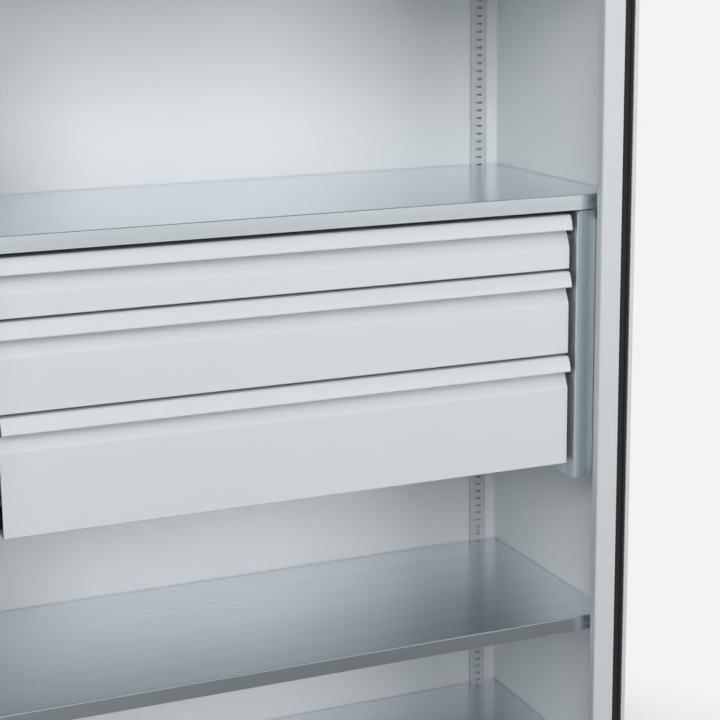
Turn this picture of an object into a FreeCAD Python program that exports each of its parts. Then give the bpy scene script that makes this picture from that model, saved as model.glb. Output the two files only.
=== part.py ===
import FreeCAD, Part
import os
import re
import Sketcher

# Heavy-duty drawer cabinet: a carcass of folded sheet steel with slotted rails, lift-out shelves
# and a hung block of three full-extension drawers.
# Millimetres. +X is right, +Y goes into the cabinet, +Z is up, and the origin is on the ground
# under the middle of the carcass.

# Driving dimensions, one cell of the sheet each
SIZES = {
    # Carcass
    "overall_width": 1200,
    "overall_depth": 500,
    "overall_height": 1950,
    "body_sheet": 1.5,
    "side_thickness": 14,
    "back_thickness": 5,
    "back_rim": 20,
    "back_web": 1.5,
    "cover_height": 40,
    "corner_radius": 2.5,
    "liner_lip": 3.3,
    # Base and feet
    "foot_height": 12,
    "foot_diameter": 50,
    "foot_inset": 45,
    "stud_diameter": 10,
    "stud_length": 36,
    "base_side": 41.4,
    "base_sheet": 2,
    "corner_plate": 90,
    "corner_plate_sheet": 3,
    # Front frame: post face, black seal, then the folded edge of the side panel
    "skin_front_fold": 8.3,
    "seal_width": 19.4,
    "seal_depth": 8,
    "seal_base": 3,
    "seal_bulb_width": 5,
    "seal_bulb_setback": 1,
    "seal_bulb_radius": 2,
    "seal_gap": 0.3,
    "post_face": 38.8,
    "post_depth": 19,
    "post_radius": 3.5,
    "header_height": 38.8,
    "sill_height": 26.6,
    # Slotted rails
    "rail_width": 32,
    "rail_depth": 8,
    "rail_radius": 2.5,
    "slot_inset": 41,
    "slot_width": 10,
    "slot_height": 4,
    "slot_pitch": 15,
    "slot_start": 34.1,
    "slot_end": 30,
    "rail_hole": 5,
    "rail_hole_pitch": 600,
    "rail_hole_slot": 21.5,
    "rail_hole_end": 120,
    "wall_hole_diameter": 9,
    "wall_hole_spacing": 1000,
    "wall_hole_drop": 70,
    # Shelves, each level with a slot counted from the lowest one
    "shelf_lower_slot": 20,
    "shelf_middle_slot": 71,
    "shelf_upper_slot": 99,
    "shelf_sheet": 1.5,
    "shelf_lip": 26.6,
    "shelf_hem": 15,
    "shelf_setback": 35,
    "shelf_side_gap": 2,
    "shelf_rear_gap": 2,
    "shelf_radius": 2,
    "notch_gap": 1,
    # Clips and hooks that hang in the slots
    "clip_sheet": 2,
    "clip_reach": 30,
    "clip_leg": 12,
    "clip_seat": 2,
    "hook_drop": 5,
    "hook_gap": 0.3,
    "slot_play": 0.5,
    # Drawer housing
    "housing_sheet": 1.5,
    "housing_inset": 76,
    "housing_setback": 42,
    "housing_rear_gap": 5,
    "housing_flange": 37,
    "housing_return": 18,
    "housing_radius": 2,
    "housing_drop": 2.9,
    "housing_margin": 25.3,
    "relief_diameter": 4,
    "bracket_margin": 10,
    "bracket_gap": 2,
    "bracket_top_slots": 4,
    "bracket_hook_end": 80,
    "tie_height": 20,
    "tie_depth": 12,
    "tie_sheet": 2,
    "tie_margin": 5,
    # Drawers: a module is one drawer's share of the block
    "module_upper": 100,
    "module_middle": 150,
    "module_lower": 200,
    "front_gap": 4,
    "drawer_top_gap": 5.7,
    "front_setback": 53,
    "front_side_gap": 9,
    "front_sheet": 1.2,
    "handle_height": 27,
    "handle_top_reach": 5.5,
    "handle_waist_reach": 11.5,
    "handle_waist_drop": 12.5,
    "handle_nose_reach": 14.5,
    "handle_top_radius": 6,
    "handle_face_radius": 50,
    "handle_nose_radius": 2.5,
    "recess_depth": 13.5,
    "recess_drop": 57.5,
    "recess_radius": 2.7,
    "belt_radius": 8,
    "hem_radius": 2,
    "top_flange": 26,
    "bottom_flange": 29,
    "cap_thickness": 2,
    "cap_plug": 8,
    "cap_plug_inset": 2,
    "tray_depth": 387,
    "tray_sheet": 1.2,
    "tray_rim": 14,
    "tray_radius": 2,
    # Telescopic slides
    "slide_width": 19,
    "slide_height": 53,
    "slide_sheet": 2,
    "slide_lap": 3,
    "slide_length": 400,
    "slide_setback": 22,
    "slide_rise": 30,
    "running_gap": 0.3,
    # Screws and rivets
    "screw_diameter": 3.5,
    "screw_head": 7,
    "screw_head_height": 2,
    "screw_inset": 60,
    "hole_play": 0.2,
    "rivet_diameter": 3.2,
    "rivet_head": 6.5,
    "rivet_head_height": 1,
    "rivet_tail": 5,
    "rivet_tail_height": 0.8,
    "rivet_setback": 6,
    "rivet_margin": 41,
    "rivet_count": 5,
}

# Places worked out from the sizes
PLACES = {
    "half_width": "overall_width / 2",
    "front_y": "0 - overall_depth / 2",
    "rear_y": "overall_depth / 2",
    "base_top": "foot_height + base_side",
    "cover_bottom": "overall_height - cover_height",
    "inner_height": "cover_bottom - base_top",
    "skin_x": "half_width - body_sheet",
    "wall_x": "half_width - side_thickness",
    "back_y": "rear_y - back_thickness",
    "seal_outer_x": "half_width - skin_front_fold",
    "seal_inner_x": "seal_outer_x - seal_width",
    "seal_floor_y": "front_y + seal_depth",
    "post_inner_x": "seal_inner_x - post_face",
    "post_rear_y": "front_y + post_depth",
    "rail_face_y": "back_y - rail_depth",
    "slot_x": "wall_x - slot_inset",
    "first_slot_z": "base_top + slot_start",
    "slot_count": "floor((cover_bottom - slot_end - first_slot_z) / slot_pitch) + 1",
    "rail_hole_start": "slot_start + rail_hole_slot * slot_pitch",
    "rail_hole_count": "floor((inner_height - rail_hole_end - rail_hole_start) / rail_hole_pitch) + 1",
    "shelf_bottom_z": "base_top + shelf_lip",
    "shelf_lower_z": "first_slot_z + round(shelf_lower_slot) * slot_pitch",
    "shelf_middle_z": "first_slot_z + round(shelf_middle_slot) * slot_pitch",
    "shelf_upper_z": "first_slot_z + round(shelf_upper_slot) * slot_pitch",
    "shelf_front_y": "front_y + shelf_setback",
    "shelf_rear_y": "back_y - shelf_rear_gap",
    "clip_drop": "ceil((shelf_lip + clip_seat) / slot_pitch) * slot_pitch - shelf_lip",
    "tongue_half": "(slot_height - 2 * slot_play) / 2",
    "tongue_width": "slot_width - 2 * slot_play",
    "housing_x": "wall_x - housing_inset",
    "housing_front_y": "front_y + housing_setback",
    "housing_rear_y": "rail_face_y - housing_rear_gap",
    "housing_top": "shelf_middle_z - shelf_lip - housing_drop",
    "bracket_top": "shelf_middle_z - shelf_lip - clip_drop - clip_leg - bracket_gap",
    "back_half_width": "half_width - corner_radius",
    "front_plane_y": "front_y + front_setback",
    "front_half": "housing_x - front_side_gap",
    "handle_half": "front_half - cap_thickness",
    "front_height_upper": "module_upper - front_gap",
    "front_height_middle": "module_middle - front_gap",
    "front_height_lower": "module_lower - front_gap",
    "handle_z_upper": "housing_top - drawer_top_gap",
    "handle_z_middle": "handle_z_upper - module_upper",
    "handle_z_lower": "handle_z_middle - module_middle",
    "housing_bottom": "handle_z_lower - front_height_lower - housing_margin",
    "tray_half": "housing_x - slide_width",
    "tray_front": "recess_depth + front_sheet",
    "tray_rear": "tray_front + tray_depth",
    "slide_front_y": "front_plane_y + slide_setback",
    "slide_rear_y": "slide_front_y + slide_length",
    "slide_z_upper": "handle_z_upper - front_height_upper + slide_rise",
    "slide_z_middle": "handle_z_middle - front_height_middle + slide_rise",
    "slide_z_lower": "handle_z_lower - front_height_lower + slide_rise",
    "screw_hole_radius": "(screw_diameter + hole_play) / 2",
    "rivet_hole_radius": "(rivet_diameter + hole_play) / 2",
}

SIDES = {"left": -1, "right": 1}
LEVELS = ("upper", "middle", "lower")
AXES = {"XY": "Z", "XZ": "Y", "YZ": "X"}

doc = FreeCAD.newDocument("drawer_cabinet")


def cells(formula):
    """A formula in plain names, with each name written as the sheet cell that holds it."""
    def cell(match):
        name = match.group()
        return "sizes." + name if name in SIZES else "places." + name if name in PLACES else name
    return re.sub(r"[a-z]\w*", cell, formula)


def fill_sheets():
    """Writes the sizes as plain numbers and the places as formulas on them."""
    sizes = doc.addObject("Spreadsheet::Sheet", "sizes")
    places = doc.addObject("Spreadsheet::Sheet", "places")
    for row, (name, value) in enumerate(SIZES.items(), start=1):
        sizes.set(f"A{row}", name)
        sizes.set(f"B{row}", str(value))
        sizes.setAlias(f"B{row}", name)
    for row, name in enumerate(PLACES, start=1):
        places.set(f"A{row}", name)
        places.setAlias(f"B{row}", name)
    for row, formula in enumerate(PLACES.values(), start=1):
        places.set(f"B{row}", "=" + cells(formula).replace("places.", ""))
    doc.recompute()


def number(formula):
    """The value that a formula has now."""
    return float(doc.sizes.evalExpression(cells(formula)))


def origin_part(body, role):
    """A plane or axis of the body's own origin."""
    return next(item for item in body.Origin.OriginFeatures if item.Role == role)


def new_body(name, x="0", y="0", z="0"):
    """An empty sub-part whose own origin is placed by three formulas."""
    body = doc.addObject("PartDesign::Body", name)
    body.Label = name
    for axis, formula in zip("xyz", (x, y, z)):
        body.setExpression(f"Placement.Base.{axis}", cells(formula))
    return body


def new_sketch(body, plane, level):
    """A sketch parallel to an origin plane, at a level along the plane's axis."""
    sketch = body.newObject("Sketcher::SketchObject", "Outline")
    sketch.AttachmentSupport = [(origin_part(body, plane + "_Plane"), "")]
    sketch.MapMode = "FlatFace"
    flip = "-1 * " if plane == "XZ" else ""
    sketch.setExpression("AttachmentOffset.Base.z", cells(f"{flip}({level})"))
    return sketch


def bind(sketch, kind, geometry, formula, value, point=1):
    """Adds one dimension to the sketch and ties it to the sheet."""
    if kind == "Radius":
        constraint = Sketcher.Constraint(kind, geometry, value)
    else:
        constraint = Sketcher.Constraint(kind, -1, 1, geometry, point, value)
    index = sketch.addConstraint(constraint)
    sketch.setExpression(f"Constraints[{index}]", cells(formula))


def draw_polygon(sketch, corners):
    """A closed outline with straight sides through the corners."""
    points = [FreeCAD.Vector(number(u), number(v), 0) for u, v in corners]
    first = sketch.GeometryCount
    count = len(points)
    for index in range(count):
        sketch.addGeometry(Part.LineSegment(points[index], points[(index + 1) % count]), False)
    for index in range(count):
        follower = first + (index + 1) % count
        sketch.addConstraint(Sketcher.Constraint("Coincident", first + index, 2, follower, 1))
    for index, (u, v) in enumerate(corners):
        bind(sketch, "DistanceX", first + index, u, points[index].x)
        bind(sketch, "DistanceY", first + index, v, points[index].y)


def draw_circle(sketch, centre, radius):
    """A full circle about a centre."""
    u, v = centre
    middle = FreeCAD.Vector(number(u), number(v), 0)
    geometry = sketch.addGeometry(Part.Circle(middle, FreeCAD.Vector(0, 0, 1), number(radius)), False)
    bind(sketch, "DistanceX", geometry, u, middle.x, point=3)
    bind(sketch, "DistanceY", geometry, v, middle.y, point=3)
    bind(sketch, "Radius", geometry, radius, number(radius))


def rectangle(low_u, high_u, low_v, high_v):
    """The four corners of an upright rectangle."""
    return [(low_u, low_v), (high_u, low_v), (high_u, high_v), (low_u, high_v)]


def draw(body, plane, level, polygons, circles, radius):
    """A sketch that holds the given polygons and circles."""
    sketch = new_sketch(body, plane, level)
    for corners in polygons:
        draw_polygon(sketch, corners)
    for centre in circles:
        draw_circle(sketch, centre, radius)
    return sketch


def add(body, plane, start, end, polygons=(), circles=(), radius="0"):
    """Pads outlines from one level to a higher one along the plane's axis."""
    feature = body.newObject("PartDesign::Pad", "Pad")
    feature.Profile = draw(body, plane, start, polygons, circles, radius)
    feature.setExpression("Length", cells(f"({end}) - ({start})"))
    feature.Reversed = plane == "XZ"
    doc.recompute()
    return feature


def cut(body, plane, start, end, polygons=(), circles=(), radius="0"):
    """Pockets outlines from one level to a higher one, and makes sure that it took metal away."""
    before = body.Tip.Shape.Volume
    feature = body.newObject("PartDesign::Pocket", "Pocket")
    feature.Profile = draw(body, plane, start, polygons, circles, radius)
    feature.setExpression("Length", cells(f"({end}) - ({start})"))
    feature.Reversed = plane != "XZ"
    doc.recompute()
    if feature.Shape.Volume > before - 1e-6:
        raise ValueError(f"{body.Label}: a pocket takes nothing away")
    return feature


def mirror(body, features):
    """Repeats features on the other side of the middle plane."""
    feature = body.newObject("PartDesign::Mirrored", "Mirrored")
    feature.Originals = features
    feature.MirrorPlane = (origin_part(body, "YZ_Plane"), [""])
    body.Tip = feature
    doc.recompute()


def repeat(body, features, axis, pitch, count):
    """Repeats features in a straight row."""
    feature = body.newObject("PartDesign::LinearPattern", "Row")
    feature.Originals = features
    feature.Direction = (origin_part(body, axis + "_Axis"), [""])
    feature.Mode = "Spacing"
    feature.setExpression("Offset", cells(pitch))
    feature.setExpression("Occurrences", cells(count))
    body.Tip = feature
    doc.recompute()


def across(point, axis):
    """The two coordinates of a point that lie across an axis."""
    return {"X": (point.y, point.z), "Y": (point.x, point.z), "Z": (point.x, point.y)}[axis]


def runs_through(edge, axis, corner):
    """Whether a straight edge along the axis passes through a corner of the section."""
    return len(edge.Vertexes) == 2 and all(
        abs(have - want) < 1e-3
        for vertex in edge.Vertexes
        for have, want in zip(across(vertex.Point, axis), corner)
    )


def round_edges(body, axis, corners, radius):
    """Rounds the edges that run along an axis through the given corners of the section."""
    places = [(number(u), number(v)) for u, v in corners]
    base = body.Tip
    names = [
        f"Edge{index}"
        for index, edge in enumerate(base.Shape.Edges, start=1)
        if any(runs_through(edge, axis, place) for place in places)
    ]
    if not names:
        raise ValueError(f"{body.Label}: no edge to round")
    feature = body.newObject("PartDesign::Fillet", "Bend")
    feature.Base = (base, names)
    feature.setExpression("Radius", cells(radius))
    doc.recompute()


def bend(body, axis, outside, inside, radius, sheet):
    """Rounds both faces of a bend in a sheet, given the radius of its outside."""
    round_edges(body, axis, outside, radius)
    round_edges(body, axis, inside, f"{radius} - {sheet}")


def signed(corners, sign):
    """A section's corners, mirrored for the left side."""
    return [(f"{sign} * ({u})", v) for u, v in corners]


# Base and feet

def make_base_panel():
    """Tray turned upside down that forms the plinth, with a plate for a foot in each corner."""
    body = new_body("base_panel", z="foot_height")
    rim_x = "half_width"
    inner_x = "half_width - base_sheet"
    inner_y = "rear_y - base_sheet"
    add(body, "XY", "0", "base_side", [rectangle(f"-1 * {rim_x}", rim_x, "front_y", "rear_y")])
    round_edges(
        body, "Z",
        [(f"{sign} * half_width", edge) for sign in SIDES.values() for edge in ("front_y", "rear_y")],
        "corner_radius",
    )
    cut(body, "XY", "0", "base_side - base_sheet",
        [rectangle(f"-1 * ({inner_x})", inner_x, f"-1 * ({inner_y})", inner_y)])
    plates = []
    for sign_x in SIDES.values():
        for sign_y in SIDES.values():
            u = [f"{sign_x} * ({inner_x} - corner_plate)", f"{sign_x} * ({inner_x})"]
            v = [f"{sign_y} * ({inner_y} - corner_plate)", f"{sign_y} * ({inner_y})"]
            plates.append(rectangle(u[0], u[1], v[0], v[1]))
    add(body, "XY", "0", "corner_plate_sheet", plates)
    cut(body, "XY", "0", "corner_plate_sheet", circles=foot_centres(),
        radius="(stud_diameter + hole_play) / 2")


def foot_centres():
    """Where the four feet stand."""
    return [
        (f"{sign_x} * (half_width - foot_inset)", f"{sign_y} * (rear_y - foot_inset)")
        for sign_x in SIDES.values()
        for sign_y in SIDES.values()
    ]


def make_levelling_feet():
    """Four round feet, each with a threaded stud up through its corner plate."""
    body = new_body("levelling_feet")
    add(body, "XY", "0", "foot_height", circles=foot_centres(), radius="foot_diameter / 2")
    add(body, "XY", "foot_height", "foot_height + stud_length", circles=foot_centres(),
        radius="stud_diameter / 2")


# Outer panels

def make_top_panel():
    """Cover: a shallow tray turned upside down over the side panels."""
    body = new_body("top_panel", z="cover_bottom")
    inner_x = "half_width - body_sheet"
    inner_y = "rear_y - body_sheet"
    add(body, "XY", "0", "cover_height", [rectangle("-1 * half_width", "half_width", "front_y", "rear_y")])
    round_edges(
        body, "Z",
        [(f"{sign} * half_width", edge) for sign in SIDES.values() for edge in ("front_y", "rear_y")],
        "corner_radius",
    )
    round_edges(body, "X", [("front_y", "cover_height"), ("rear_y", "cover_height")], "corner_radius")
    cut(body, "XY", "0", "cover_height - body_sheet",
        [rectangle(f"-1 * ({inner_x})", inner_x, f"-1 * ({inner_y})", inner_y)])


def make_ceiling_panel():
    """Flat sheet that closes the cover from below."""
    body = new_body("ceiling_panel", z="cover_bottom")
    inner_y = "rear_y - body_sheet"
    add(body, "XY", "0", "body_sheet", [rectangle("-1 * skin_x", "skin_x", f"-1 * ({inner_y})", inner_y)])


def make_back_panel():
    """Back wall with a rim towards the rear and two holes for fixing it to a wall."""
    body = new_body("back_panel", y="back_y", z="base_top")
    depth = "back_thickness - body_sheet"
    half = "back_half_width"
    add(body, "XZ", "0", depth, [rectangle(f"-1 * {half}", half, "0", "inner_height")])
    cut(body, "XZ", "back_web", depth,
        [rectangle(f"back_rim - {half}", f"{half} - back_rim", "back_rim", "inner_height - back_rim")])
    holes = [(f"{sign} * wall_hole_spacing / 2", "inner_height - wall_hole_drop") for sign in SIDES.values()]
    cut(body, "XZ", "0", "back_web", circles=holes, radius="wall_hole_diameter / 2")


def make_side_skin(side, sign):
    """Outer side panel, folded round the seal channel in front and behind the back wall."""
    body = new_body(f"side_skin_{side}", z="base_top")
    inner_front = "front_y + body_sheet"
    inner_rear = "rear_y - body_sheet"
    lip_x = "seal_outer_x + body_sheet"
    outside = [
        ("seal_outer_x", "seal_floor_y"), ("seal_outer_x", "front_y"),
        ("half_width", "front_y"), ("half_width", "rear_y"), ("wall_x + body_sheet / 2", "rear_y"),
    ]
    inside = [
        ("wall_x + body_sheet / 2", inner_rear), ("skin_x", inner_rear),
        ("skin_x", inner_front), (lip_x, inner_front), (lip_x, "seal_floor_y"),
    ]
    add(body, "XY", "0", "inner_height", [signed(outside + inside, sign)])
    bend(body, "Z", signed(outside[2:4], sign), signed(inside[1:3], sign), "corner_radius", "body_sheet")


def make_side_liner(side, sign):
    """Inner side wall with a narrow lip against the back wall."""
    body = new_body(f"side_liner_{side}", z="base_top")
    section = [
        ("wall_x", "post_rear_y - body_sheet"), ("wall_x + body_sheet", "post_rear_y - body_sheet"),
        ("wall_x + body_sheet", "back_y"), ("wall_x - liner_lip", "back_y"),
        ("wall_x - liner_lip", "back_y - body_sheet"), ("wall_x", "back_y - body_sheet"),
    ]
    add(body, "XY", "0", "inner_height", [signed(section, sign)])


# Front frame

def cut_slots(body, sign, low_y, high_y):
    """Row of slots through an upright sheet."""
    half = "slot_width / 2"
    slot = cut(
        body, "XZ", low_y, high_y,
        [rectangle(f"{sign} * slot_x - {half}", f"{sign} * slot_x + {half}",
                   "slot_start - slot_height / 2", "slot_start + slot_height / 2")],
    )
    repeat(body, [slot], "Z", "slot_pitch", "slot_count")


def make_front_post(side, sign):
    """Front upright: slotted rear flange, face, and the channel that holds the seal."""
    body = new_body(f"front_post_{side}", z="base_top")
    outside = [
        ("wall_x", "post_rear_y"), ("post_inner_x", "post_rear_y"), ("post_inner_x", "front_y"),
        ("seal_inner_x", "front_y"), ("seal_inner_x", "seal_floor_y"), ("skin_x", "seal_floor_y"),
    ]
    inside = [
        ("skin_x", "seal_floor_y + body_sheet"),
        ("seal_inner_x - body_sheet", "seal_floor_y + body_sheet"),
        ("seal_inner_x - body_sheet", "front_y + body_sheet"),
        ("post_inner_x + body_sheet", "front_y + body_sheet"),
        ("post_inner_x + body_sheet", "post_rear_y - body_sheet"),
        ("wall_x", "post_rear_y - body_sheet"),
    ]
    add(body, "XY", "0", "inner_height", [signed(outside + inside, sign)])
    bend(body, "Z", signed(outside[1:3], sign), signed(inside[3:5], sign), "post_radius", "body_sheet")
    cut_slots(body, sign, "post_rear_y - body_sheet", "post_rear_y")


def make_seal_strip(side, sign):
    """Rubber strip in the channel: a flat base with a round-edged bulb along its outer edge."""
    body = new_body(f"seal_strip_{side}", z="base_top")
    inner_x = "seal_inner_x + seal_gap"
    outer_x = "seal_outer_x - seal_gap"
    bulb_x = "seal_outer_x - seal_gap - seal_bulb_width"
    base_y = "seal_floor_y - seal_base"
    bulb_y = "front_y + seal_bulb_setback"
    section = [
        (inner_x, "seal_floor_y"), (inner_x, base_y), (bulb_x, base_y),
        (bulb_x, bulb_y), (outer_x, bulb_y), (outer_x, "seal_floor_y"),
    ]
    add(body, "XY", "0", "inner_height", [signed(section, sign)])
    round_edges(body, "Z", signed(section[3:5], sign), "seal_bulb_radius")


def make_frame_rail(name, bottom, height, open_side):
    """Crossbar between the posts, a channel whose open side lies on the base or under the cover."""
    body = new_body(name, z=bottom)
    inner_front = "front_y + body_sheet"
    inner_rear = "post_rear_y - body_sheet"
    web, edge = (height, "0") if open_side == "down" else ("0", height)
    inner_web = f"{height} - body_sheet" if open_side == "down" else "body_sheet"
    section = [
        ("front_y", edge), ("front_y", web), ("post_rear_y", web), ("post_rear_y", edge),
        (inner_rear, edge), (inner_rear, inner_web), (inner_front, inner_web), (inner_front, edge),
    ]
    add(body, "YZ", "-1 * post_inner_x", "post_inner_x", [section])
    bend(body, "X", section[1:3], section[5:7], "post_radius", "body_sheet")


# Rear rails, shelves and their clips

def make_rear_rail(side, sign):
    """Slotted channel on the back wall."""
    body = new_body(f"rear_rail_{side}", z="base_top")
    low_x = "slot_x - rail_width / 2"
    high_x = "slot_x + rail_width / 2"
    inner_y = "rail_face_y + body_sheet"
    section = [
        (low_x, "rail_face_y"), (high_x, "rail_face_y"), (high_x, "back_y"),
        (f"{high_x} - body_sheet", "back_y"), (f"{high_x} - body_sheet", inner_y),
        (f"{low_x} + body_sheet", inner_y), (f"{low_x} + body_sheet", "back_y"), (low_x, "back_y"),
    ]
    add(body, "XY", "0", "inner_height", [signed(section, sign)])
    bend(body, "Z", signed(section[0:2], sign), signed(section[4:6], sign), "rail_radius", "body_sheet")
    cut_slots(body, sign, "rail_face_y", inner_y)
    hole = cut(
        body, "XZ", "rail_face_y", inner_y, radius="rail_hole / 2",
        circles=[(f"{sign} * slot_x", "rail_hole_start")],
    )
    repeat(body, [hole], "Z", "rail_hole_pitch", "rail_hole_count")


def make_shelf(level):
    """Shelf folded down at all four edges, hemmed front and rear, notched round the rear rails."""
    body = new_body(f"shelf_{level}", z=f"shelf_{level}_z - shelf_lip")
    half = "wall_x - shelf_side_gap"
    inner = f"{half} - shelf_sheet"
    front = "shelf_front_y + shelf_sheet"
    rear = "shelf_rear_y - shelf_sheet"
    add(body, "XY", "0", "shelf_lip", [rectangle(f"-1 * ({half})", half, "shelf_front_y", "shelf_rear_y")])
    round_edges(body, "X", [("shelf_front_y", "shelf_lip"), ("shelf_rear_y", "shelf_lip")], "shelf_radius")
    cut(body, "XY", "0", "shelf_lip - shelf_sheet", [rectangle(f"-1 * ({inner})", inner, front, rear)])
    add(
        body, "XY", "0", "shelf_sheet",
        [rectangle(f"-1 * ({inner})", inner, front, f"{front} + shelf_hem"),
         rectangle(f"-1 * ({inner})", inner, f"{rear} - shelf_hem", rear)],
    )
    notch = "rail_width / 2 + notch_gap"
    notches = [
        rectangle(f"{sign} * slot_x - ({notch})", f"{sign} * slot_x + {notch}",
                  "rail_face_y - notch_gap", "back_y")
        for sign in SIDES.values()
    ]
    cut(body, "XY", "0", "shelf_lip", notches)


def hook(face, sign, height):
    """Section of a tongue through a slot that hooks down behind the sheet, from the rail's face."""
    reach = {
        "face": face,
        "near": f"{face} - {sign} * (body_sheet + hook_gap)",
        "far": f"{face} - {sign} * (body_sheet + hook_gap + clip_sheet)",
    }
    low = f"{height} - tongue_half"
    high = f"{height} + tongue_half"
    tip = f"{low} - hook_drop"
    return [
        (reach["face"], low), (reach["near"], low), (reach["near"], tip),
        (reach["far"], tip), (reach["far"], high), (reach["face"], high),
    ]


def clip(face, sign, top):
    """Section of a shelf clip: a seat under the shelf, a leg down the rail and a hook in its slot."""
    slot = f"{top} - clip_drop"
    back = hook(face, sign, slot)
    seat = [
        (face, top), (f"{face} + {sign} * clip_reach", top),
        (f"{face} + {sign} * clip_reach", f"{top} - clip_sheet"),
        (f"{face} + {sign} * clip_sheet", f"{top} - clip_sheet"),
        (f"{face} + {sign} * clip_sheet", f"{slot} - clip_leg"), (face, f"{slot} - clip_leg"),
    ]
    return seat + back


def make_shelf_clips():
    """Four clips under each lift-out shelf."""
    body = new_body("shelf_clips")
    sections = []
    for level in ("lower", "middle", "upper"):
        for face, sign in (("post_rear_y", 1), ("rail_face_y", -1)):
            sections.append(clip(face, sign, f"shelf_{level}_z - shelf_lip"))
    clips = add(body, "YZ", "slot_x - tongue_width / 2", "slot_x + tongue_width / 2", sections)
    mirror(body, [clips])


# Drawer housing

def make_housing_side(side, sign):
    """Side of the drawer housing: a wall with a flange and a return at the front and the rear."""
    body = new_body(f"housing_side_{side}", z="housing_bottom")
    wall = "housing_x + housing_sheet"
    flange = "housing_x + housing_flange"
    inner_flange = f"{flange} - housing_sheet"
    front = "housing_front_y"
    rear = "housing_rear_y"
    section = [
        ("housing_x", front), (flange, front), (flange, f"{front} + housing_return"),
        (inner_flange, f"{front} + housing_return"), (inner_flange, f"{front} + housing_sheet"),
        (wall, f"{front} + housing_sheet"), (wall, f"{rear} - housing_sheet"),
        (inner_flange, f"{rear} - housing_sheet"), (inner_flange, f"{rear} - housing_return"),
        (flange, f"{rear} - housing_return"), (flange, rear), ("housing_x", rear),
    ]
    add(body, "XY", "0", "housing_top - housing_bottom", [signed(section, sign)])
    outside = [section[index] for index in (0, 1, 10, 11)]
    inside = [section[index] for index in (5, 4, 7, 6)]
    bend(body, "Z", signed(outside, sign), signed(inside, sign), "housing_radius", "housing_sheet")
    cut(body, "XZ", front, f"{front} + 2 * housing_sheet", radius="relief_diameter / 2",
        circles=[(f"{sign} * (housing_x + housing_sheet / 2)",
                  "housing_top - housing_bottom - relief_diameter / 2")])
    cut_slide_screw_holes(body, sign, "housing_x", wall, "housing_bottom", LEVELS)


def slide_screw_centres(bottom, levels):
    """Where the screws of the fixed slide members go through, seen from the side."""
    return [
        (along, f"slide_z_{level} - {bottom}")
        for level in levels
        for along in ("slide_front_y + screw_inset", "slide_rear_y - screw_inset")
    ]


def cut_slide_screw_holes(body, sign, low, high, bottom, levels):
    """Clearance holes for the slide screws through a wall between two distances from the middle."""
    start, end = (low, high) if sign > 0 else (f"-1 * ({high})", f"-1 * ({low})")
    cut(body, "YZ", start, end, circles=slide_screw_centres(bottom, levels), radius="screw_hole_radius")


def make_housing_brackets():
    """Four angles that hang the housing sides on the slots of the posts and the rear rails."""
    body = new_body("housing_brackets", z="housing_bottom")
    arm = "housing_x + housing_flange"
    outer = f"{arm} + clip_sheet"
    inner = "slot_x - tongue_width / 2 - clip_sheet"
    sections = []
    for face, sign, return_end in (
        ("post_rear_y", 1, "housing_front_y + housing_return"),
        ("rail_face_y", -1, "housing_rear_y - housing_return"),
    ):
        foot = f"{face} + {sign} * clip_sheet"
        sections.append([(inner, face), (outer, face), (outer, return_end),
                         (arm, return_end), (arm, foot), (inner, foot)])
    angles = add(body, "XY", "bracket_margin", "bracket_top - housing_bottom", sections)
    high_slot = "shelf_middle_z - bracket_top_slots * slot_pitch - housing_bottom"
    low_slot = f"{high_slot} - floor(({high_slot} - bracket_hook_end) / slot_pitch) * slot_pitch"
    hooks = add(
        body, "YZ", "slot_x - tongue_width / 2", f"{outer}",
        [hook(face, sign, height)
         for face, sign in (("post_rear_y", 1), ("rail_face_y", -1))
         for height in (high_slot, low_slot)],
    )
    mirror(body, [angles, hooks])


def make_housing_ties():
    """Two angles across the rear that keep the housing sides the right distance apart."""
    body = new_body("housing_ties")
    sections = []
    rear = "housing_rear_y - tie_sheet"
    for low in ("housing_bottom", "housing_top - tie_margin - tie_height"):
        high = f"{low} + tie_height"
        sections.append([
            (rear, low), (rear, high), (f"{rear} - tie_sheet", high),
            (f"{rear} - tie_sheet", f"{low} + tie_sheet"), (f"{rear} - tie_depth", f"{low} + tie_sheet"),
            (f"{rear} - tie_depth", low),
        ])
    add(body, "YZ", "-1 * housing_x", "housing_x", sections)


# Telescopic slides, nested channels from the housing wall inwards

def channel(sign, web, edge, half_height):
    """Section of a slide member: a web, and two flanges from it to an edge."""
    inner_web = f"{web} + slide_sheet" if edge.startswith("housing_x - slide_lap") else f"{web} - slide_sheet"
    low = f"slide_sheet - ({half_height})"
    return signed([
        (web, half_height), (edge, half_height), (edge, f"{half_height} - slide_sheet"),
        (inner_web, f"{half_height} - slide_sheet"), (inner_web, low), (edge, low),
        (edge, f"-1 * ({half_height})"), (web, f"-1 * ({half_height})"),
    ], sign)


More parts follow.
